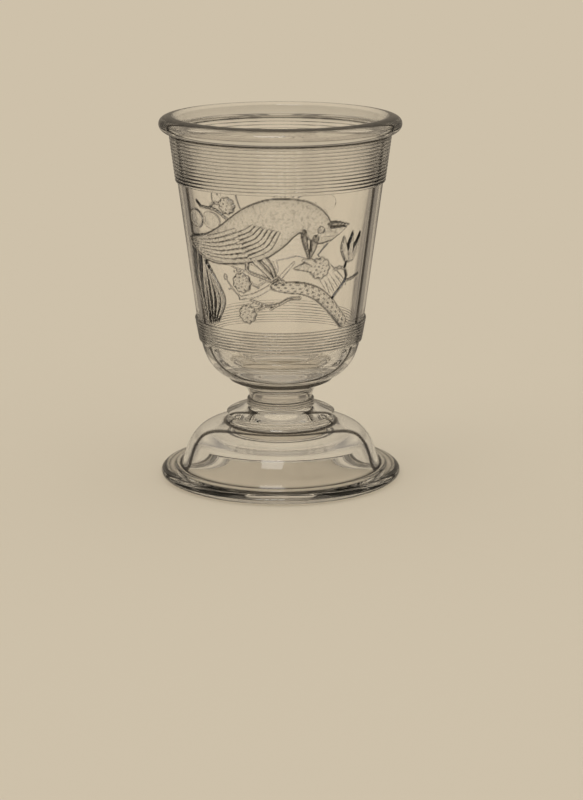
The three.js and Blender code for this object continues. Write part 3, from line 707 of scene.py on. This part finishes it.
def smoothLine(stations, pieces=10, closed=False):
    # a Catmull-Rom line through the stations
    points = np.array(stations, float)
    if closed:
        ends = np.vstack([points[-1], points, points[0], points[1]])
    else:
        ends = np.vstack([2 * points[0] - points[1], points, 2 * points[-1] - points[-2]])
    line = [ends[1]]
    for i in range(len(ends) - 3):
        a, b, c, d = ends[i : i + 4]
        for k in range(1, pieces + 1):
            t = k / pieces
            line.append(0.5 * (2 * b + (c - a) * t + (2 * a - 5 * b + 4 * c - d) * t * t
                               + (3 * b - a - 3 * c + d) * t**3))
    return np.array(line)


def eased(share):
    share = np.clip(share, 0, 1)
    return share * share * (3 - 2 * share)


def closeTo(across, up, line, reach):
    low, high = line[:, :2].min(axis=0) - reach, line[:, :2].max(axis=0) + reach
    return (across > low[0]) & (across < high[0]) & (up > low[1]) & (up < high[1])


def alongLine(u, v, a, b):
    # share of the way from a to b, distance from that stretch, and which side of it
    span = b[:2] - a[:2]
    share = np.clip(((u - a[0]) * span[0] + (v - a[1]) * span[1]) / max(span @ span, 1e-9), 0, 1)
    awayU, awayV = u - a[0] - span[0] * share, v - a[1] - span[1] * share
    return share, np.hypot(awayU, awayV), np.sign(span[0] * awayV - span[1] * awayU)


def addStroke(height, across, up, stations, shape, tilt=0.0):
    line = smoothLine(stations)
    near = closeTo(across, up, line, line[:, 2].max())
    u, v = across[near], up[near]
    best = np.zeros(len(u))
    for a, b in zip(line, line[1:]):
        share, distance, side = alongLine(u, v, a, b)
        halfWidth = a[2] + (b[2] - a[2]) * share
        peak = a[3] + (b[3] - a[3]) * share
        off = np.clip(distance / halfWidth, 0, 1)
        fall = 1 - shape["crown"] * off**2 - tilt * (0.5 + 0.5 * side * off)
        climb = eased((halfWidth - distance) / np.minimum(halfWidth, shape["strokeEdge"]))
        best = np.maximum(best, peak * fall * climb)
    height[near] = np.maximum(height[near], best)


def addBark(height, shadeMarks, across, up, stations, shape):
    # rows of short nicks along a branch, with painted shade in them
    line = smoothLine(stations)
    near = closeTo(across, up, line, line[:, 2].max())
    u, v = across[near], up[near]
    lengths = np.hypot(*np.diff(line[:, :2], axis=0).T)
    travel = np.concatenate([[0], np.cumsum(lengths)])
    closest = np.full(len(u), np.inf)
    walked, sideways, halfWidth = np.zeros(len(u)), np.zeros(len(u)), np.ones(len(u))
    for k, (a, b) in enumerate(zip(line, line[1:])):
        share, distance, side = alongLine(u, v, a, b)
        nearer = distance < closest
        closest = np.where(nearer, distance, closest)
        walked = np.where(nearer, travel[k] + lengths[k] * share, walked)
        sideways = np.where(nearer, side * distance, sideways)
        halfWidth = np.where(nearer, a[2] + (b[2] - a[2]) * share, halfWidth)
    nicks = np.zeros(len(u))
    endReach, sideReach = shape["barkReach"]
    for place, shift in shape["barkRows"]:
        along = (walked / shape["barkSpacing"] + shift + 0.5) % 1 - 0.5
        beside = np.abs(sideways - place * halfWidth) / shape["barkWidth"]
        nick = eased(endReach - shape["barkFall"] * np.abs(along)) * eased(sideReach - beside)
        nicks = np.maximum(nicks, nick)
    height[near] -= shape["barkDepth"] * nicks
    shadeMarks[near] = np.maximum(shadeMarks[near], shape["barkShade"] * nicks)


def addBody(height, shadeMarks, across, up, outline, shape):
    # a domed body inside a closed outline, with painted shade inside its edge
    line = smoothLine(outline, pieces=5, closed=True)
    near = closeTo(across, up, line, 0)
    u, v = across[near], up[near]
    distance = np.full(len(u), np.inf)
    inside = np.zeros(len(u), bool)
    for a, b in zip(line, line[1:]):
        distance = np.minimum(distance, alongLine(u, v, a, b)[1])
        crosses = (a[1] > v) != (b[1] > v)
        if a[1] != b[1]:
            inside ^= crosses & (u < a[0] + (v - a[1]) * (b[0] - a[0]) / (b[1] - a[1]))
    deep = np.where(inside, distance, 0)
    body = shape["bodyHeight"] * eased(deep / shape["bodyEdge"])
    body += shape["bodyCrown"] * np.sqrt(np.clip(deep / shape["bodyReach"], 0, 1))
    height[near] = np.maximum(height[near], body)
    shadeMarks[near] += shape["bodyShade"] * inside * (1 - eased(deep / shape["bodyShadeReach"]))


def addBlossom(height, shadeMarks, across, up, blossom, shape):
    # a berry-like head, its edge drawn in between lobes, with seeds sunk in a spiral and painted shade in
    # their pits
    middleU, middleV, radius = blossom
    near = np.hypot(across - middleU, up - middleV) < radius
    u, v = across[near] - middleU, up[near] - middleV
    distance, turn = np.hypot(u, v), np.arctan2(v, u)
    outline = radius * (1 - shape["lobeDepth"] * (1 - np.cos(shape["blossomLobes"] * turn)))
    dome = shape["blossomHeight"] * eased((outline - distance) / shape["bodyEdge"])
    dome += shape["blossomCrown"] * np.sqrt(np.clip(1 - (distance / outline) ** 2, 0, 1))
    goldenTurn = math.pi * (3 - math.sqrt(5))
    seeds = int((radius / shape["seedSpacing"]) ** 2)
    pits = np.zeros(len(u))
    for k in range(seeds):
        reach = radius * shape["seedField"] * math.sqrt((k + 0.5) / seeds)
        away = np.hypot(u - reach * math.cos(k * goldenTurn), v - reach * math.sin(k * goldenTurn))
        pits = np.maximum(pits, eased(shape["seedReach"] - away / shape["seedRadius"]))
    height[near] = np.maximum(height[near], dome) - shape["seedDepth"] * pits
    shadeMarks[near] = np.maximum(shadeMarks[near], shape["seedShade"] * pits)


def addLeaf(height, across, up, leaf, shape):
    # a round leaf, dished in its middle, with a rolled edge
    middleU, middleV, halfLength, halfWidth = leaf
    share = np.clip(np.hypot((across - middleU) / halfLength, (up - middleV) / halfWidth), 0, 1)
    dished = 1 - shape["leafDish"] * (1 - share**3)
    rolled = eased((1 - share) * halfWidth / shape["bodyEdge"]) * dished
    height[:] = np.maximum(height, shape["leafHeight"] * rolled)


def figureRelief(across, up, figure, shape):
    # the figure's height, and the painted shade of its marks
    height, shadeMarks = np.zeros(len(across)), np.zeros(len(across))
    for leaf in figure["leaves"]:
        addLeaf(height, across, up, leaf, shape)
    for stations in figure["plumes"]:
        addStroke(height, across, up, stations, shape, shape["featherTilt"])
    for k in figure["dark"]:
        addStroke(shadeMarks, across, up, figure["raised"][k], shape)
    shadeMarks *= shape["strokeShade"]
    addBody(height, shadeMarks, across, up, figure["body"], shape)
    laid = np.zeros(len(across))
    for stations in figure["feathers"]:
        addStroke(laid, across, up, stations, shape, shape["featherTilt"])
    height += laid
    for stations in figure["raised"] + figure["branches"] + figure["petals"]:
        addStroke(height, across, up, stations, shape)
    addBark(height, shadeMarks, across, up, figure["branches"][figure["barked"]], shape)
    for blossom in figure["blossoms"]:
        addBlossom(height, shadeMarks, across, up, blossom, shape)
    away = np.hypot(across - figure["eye"][0], up - figure["eye"][1])
    ring = eased(1 - abs(away - shape["eyeRing"]) / shape["eyeRingWidth"])
    height += shape["eyeHeight"] * eased(1 - away / shape["eyeRadius"]) - shape["eyeRingDepth"] * ring
    return np.maximum(height, 0), shadeMarks


def raiseRelief(bm, shape):
    # moves the panel's points out by the figures' height; how far is kept as the frosting, and the
    # valleys and marks as painted shade
    frosting = bm.verts.layers.float["frost"]
    shadeLayer = bm.verts.layers.float["paintedShade"]
    verts = []
    for v in bm.verts:
        outside = bowlShape["panelBottomRadius"] + panelSlope * (v.co.z - panelBottom)
        if panelBottom - hair < v.co.z < panelTop + hair and abs(v.co.xy.length - outside) < hair:
            verts.append(v)
    places = np.array([v.co[:] for v in verts])
    turn = np.arctan2(places[:, 0], -places[:, 1])
    up = places[:, 2] - panelBottom
    total, reliefShading = np.zeros(len(verts)), np.zeros(len(verts))
    d = shape["valleyShadeStep"]
    for figure in (bowedBird, lookingBird):
        across = ((turn - figure["side"] + math.pi) % (2 * math.pi) - math.pi) * panelMiddle
        middle, shadeMarks = figureRelief(across, up, figure, shape)
        beside = sum(figureRelief(across + d * i, up + d * j, figure, shape)[0]
                     for i, j in ((1, 0), (-1, 0), (0, 1), (0, -1)))
        total = np.maximum(total, middle)
        # painted shade in the relief's valleys, where it curves inwards
        hollow = np.clip((beside - 4 * middle) / d**2 / shape["valleyShadeScale"], 0, 1)
        reliefShading = np.maximum(reliefShading, shadeMarks + hollow)
    fade = eased(up / shape["panelFade"]) * eased((bowlShape["panelHeight"] - up) / shape["panelFade"])
    for v, out, line in zip(verts, total * fade, np.clip(reliefShading * fade, 0, 1)):
        radius = math.hypot(v.co.x, v.co.y)
        v.co.x *= 1 + out / radius
        v.co.y *= 1 + out / radius
        v[frosting] = min(1.0, out / shape["fullFrost"])
        v[shadeLayer] = line
    print("relief raised on", len(verts), "points, up to", round(float(total.max()), 2), "mm")


def makeBowl(s):
    bm = startPiece(["frost", "paintedShade", "mouthShade"])
    sweepOutline(bm, bowlBelowPanel(s), s["facets"])
    sweepOutline(bm, bowlAbovePanel(s), s["facets"])
    rollPanel(bm, s)
    mergePoints(bm)
    for height, inner in ((panelBottom, s["panelBottomRadius"]), (panelTop, s["panelTopRadius"])):
        loops = loopAt(bm, height, inner) + loopAt(bm, height, inner + s["bandProud"])
        bmesh.ops.bridge_loops(bm, edges=loops)
    raiseRelief(bm, reliefShape)
    shadeReedGrooves(bm, s)
    # painted shade rings at the rim's top, at the rim's foot, at the ledge and round the mouth
    rimFoot = np.add((upperBandRadius + s["bandProud"], upperBandTop), s["rimFootShadeLineShift"])
    crown = mouthRadius + s["lipRound"]
    paintShadeRings(bm, "paintedShade", [(crown + s["rimTopShadeLineShift"], rimTop, *s["rimTopShadeLine"]),
                               (*rimFoot, *s["rimFootShadeLine"]),
                               (s["ledgeRadius"], stemTop + s["ledgeHeight"] / 2, *s["ledgeShadeLine"])])
    paintShadeRings(bm, "mouthShade", [(mouthRadius, rimTop - s["mouthDrop"], *s["mouthShadeLine"])])
    return finishPiece(bm, "bowlBody", bowlGlass, [(stemTop, stemShape["topRadius"])])


# The pieces in the frame
foot = makeFoot(footShape)
stem = makeStem(stemShape)
bowl = makeBowl(bowlShape)
for piece, node, slotName in ((foot, "foot", "foot_glass"), (stem, "stem", "stem_glass"),
                              (bowl, "bowl", "bowl_glass")):
    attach(piece, "root")
    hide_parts(node)


# Studio
studio = {
    "paper": (0.617, 0.533, 0.402, 1),  # pale cream
    "floorSize": 12.0,
    "floorDrop": 0.0002,
    "evenRange": (0.25, 0.6),  # over this distance the floor's shading fades to plain cream
    "cardRange": (0.1, 0.15),  # dark cards and walls come in over this one
    "cardMiddle": 11.5,  # degrees that a card's middle stands off each diagonal, to both sides
    "cardHalfWidth": 6.5,
    "cardSoftness": 4.5,
    "cardColour": (0.2, 0.172, 0.138, 1),
    "skyFoot": (0.3, 0.5),  # the darker band of sky that only bent light meets
    "skyHead": (0.8, 0.55),  # heights are those of a direction of length 1
    "skyColour": (0.30, 0.265, 0.22, 1),
    "wallTop": (0.5, 0.3),  # below it the room is dark to mirrored rays, which draws the edges
    "wallShare": 0.8,
    "worldLight": 0.62,
    "sunLight": 0.38,
    "sunHeight": 58.0,
    "sunTurn": -35.0,
    "sunSoftness": 25.0,
    "windowPlace": (-0.2, -1.0, 0.85),
    "windowSize": (0.55, 0.5),
    "windowEnergy": 3.0,
    "glossyBounces": 7,
    "bounces": 14,
    "cameraPlace": (0.0042, -0.870, 0.250),
    "cameraTilt": 75.751,
    "lens": 103.95,
}


def cardShare(tree, place, s):
    # how far a direction seen from the axis lies in a dark card; eight of them flank the diagonals
    parts = addNode(tree, "ShaderNodeSeparateXYZ", {0: place})
    turn = maths(tree, "ARCTAN2", parts.outputs[1], parts.outputs[0])
    fold = maths(tree, "PINGPONG", turn, math.pi / 4)
    card = math.radians(45 - s["cardMiddle"])
    away = maths(tree, "ABSOLUTE", maths(tree, "SUBTRACT", fold, card))
    edge = math.radians(s["cardHalfWidth"])
    return mapped(tree, away, (edge + math.radians(s["cardSoftness"]), edge))


def rayKinds(tree):
    # whether a ray comes from the camera, was bent or mirrored by glass, or only mirrored; one that
    # is bent counts as glossy too
    paths = addNode(tree, "ShaderNodeLightPath").outputs
    bent = maths(tree, "MAXIMUM", paths["Is Glossy Ray"], paths["Is Transmission Ray"])
    mirrored = maths(tree, "SUBTRACT", paths["Is Glossy Ray"], paths["Is Transmission Ray"], clamp=True)
    return paths["Is Camera Ray"], bent, mirrored


def makeWorld(s):
    world = bpy.data.worlds.new("studioWorld")
    bpy.context.scene.world = world
    tree = emptyTree(world)
    direction = addNode(tree, "ShaderNodeTexCoord").outputs["Generated"]
    height = addNode(tree, "ShaderNodeSeparateXYZ", {0: direction}).outputs[2]
    fromCamera, bent, mirrored = rayKinds(tree)
    band = maths(tree, "MULTIPLY", mapped(tree, height, s["skyFoot"]), mapped(tree, height, s["skyHead"]))
    card = cardShare(tree, direction, s)
    wall = mapped(tree, height, s["wallTop"], (0, s["wallShare"]))
    colour = s["paper"]
    for share, dark, rays in ((band, s["skyColour"], bent), (card, s["cardColour"], bent),
                              (wall, s["cardColour"], mirrored)):
        colour = mixedColour(tree, maths(tree, "MULTIPLY", share, rays), colour, dark)
    backdrop = addNode(tree, "ShaderNodeBackground", {"Color": colour, "Strength": 1.0})
    light = addNode(tree, "ShaderNodeBackground", {"Color": (1, 1, 1, 1), "Strength": s["worldLight"]})
    mix = addNode(tree, "ShaderNodeMixShader",
                  {0: maths(tree, "MAXIMUM", fromCamera, bent), 1: light.outputs[0], 2: backdrop.outputs[0]})
    addNode(tree, "ShaderNodeOutputWorld", {"Surface": mix.outputs[0]})


def floorMaterial(s):
    material = bpy.data.materials.new("paleFloor")
    tree = emptyTree(material)
    place = addNode(tree, "ShaderNodeTexCoord").outputs["Object"]
    away = addNode(tree, "ShaderNodeVectorMath", {0: place}, operation="LENGTH").outputs["Value"]
    even = mapped(tree, away, s["evenRange"], interpolation_type="SMOOTHSTEP")
    lit = addNode(tree, "ShaderNodeBsdfDiffuse", {"Color": s["paper"]})
    plain = addNode(tree, "ShaderNodeEmission", {"Color": s["paper"], "Strength": 1.0})
    paper = addNode(tree, "ShaderNodeMixShader", {0: even, 1: lit.outputs[0], 2: plain.outputs[0]})
    _, bent, mirrored = rayKinds(tree)
    card = maths(tree, "MULTIPLY", bent, cardShare(tree, place, s))
    wall = maths(tree, "MULTIPLY", mirrored, s["wallShare"])
    share = maths(tree, "MULTIPLY", maths(tree, "MAXIMUM", card, wall), mapped(tree, away, s["cardRange"]))
    dark = addNode(tree, "ShaderNodeEmission", {"Color": s["cardColour"], "Strength": 1.0})
    mix = addNode(tree, "ShaderNodeMixShader", {0: share, 1: paper.outputs[0], 2: dark.outputs[0]})
    addNode(tree, "ShaderNodeOutputMaterial", {"Surface": mix.outputs[0]})
    return material


def makeFloor(s):
    bm = bmesh.new()
    bmesh.ops.create_grid(bm, x_segments=1, y_segments=1, size=s["floorSize"] / 2)
    bmesh.ops.translate(bm, vec=(0, 0, -s["floorDrop"]), verts=bm.verts)
    mesh = bpy.data.meshes.new("floor")
    bm.to_mesh(mesh)
    bm.free()
    floor = bpy.data.objects.new("floor", mesh)
    bpy.context.collection.objects.link(floor)
    mesh.materials.append(floorMaterial(s))


def makeLamps(s):
    # a soft lamp for the shadow, and a window of light that only shows as a gleam on the glass
    sun = bpy.data.lights.new("softLamp", "SUN")
    height, turn = math.radians(s["sunHeight"]), math.radians(s["sunTurn"])
    sun.energy = s["sunLight"] * math.pi / math.sin(height)
    sun.angle = math.radians(s["sunSoftness"])
    lamp = bpy.data.objects.new("softLamp", sun)
    lamp.rotation_euler = (math.pi / 2 - height, 0, turn)
    lamp.visible_glossy = False
    lamp.visible_transmission = False
    bpy.context.collection.objects.link(lamp)
    data = bpy.data.lights.new("windowLamp", "AREA")
    data.shape = "RECTANGLE"
    data.size, data.size_y = s["windowSize"]
    data.energy = s["windowEnergy"]
    window = bpy.data.objects.new("windowLamp", data)
    window.location = s["windowPlace"]
    window.rotation_euler = window.location.to_track_quat("Z", "Y").to_euler()
    window.visible_diffuse = False
    window.visible_transmission = False
    bpy.context.collection.objects.link(window)


def makeCamera(s):
    data = bpy.data.cameras.new("camera")
    data.lens = s["lens"]
    camera = bpy.data.objects.new("camera", data)
    camera.location = s["cameraPlace"]
    camera.rotation_euler = (math.radians(s["cameraTilt"]), 0, 0)
    bpy.context.collection.objects.link(camera)
    bpy.context.scene.camera = camera


makeWorld(studio)
makeFloor(studio)
makeLamps(studio)
makeCamera(studio)
bpy.context.scene.view_settings.view_transform = "Standard"
cycles = bpy.context.scene.cycles
cycles.glossy_bounces = studio["glossyBounces"]
cycles.transmission_bounces = studio["bounces"]
cycles.max_bounces = studio["bounces"]
print("studio made")
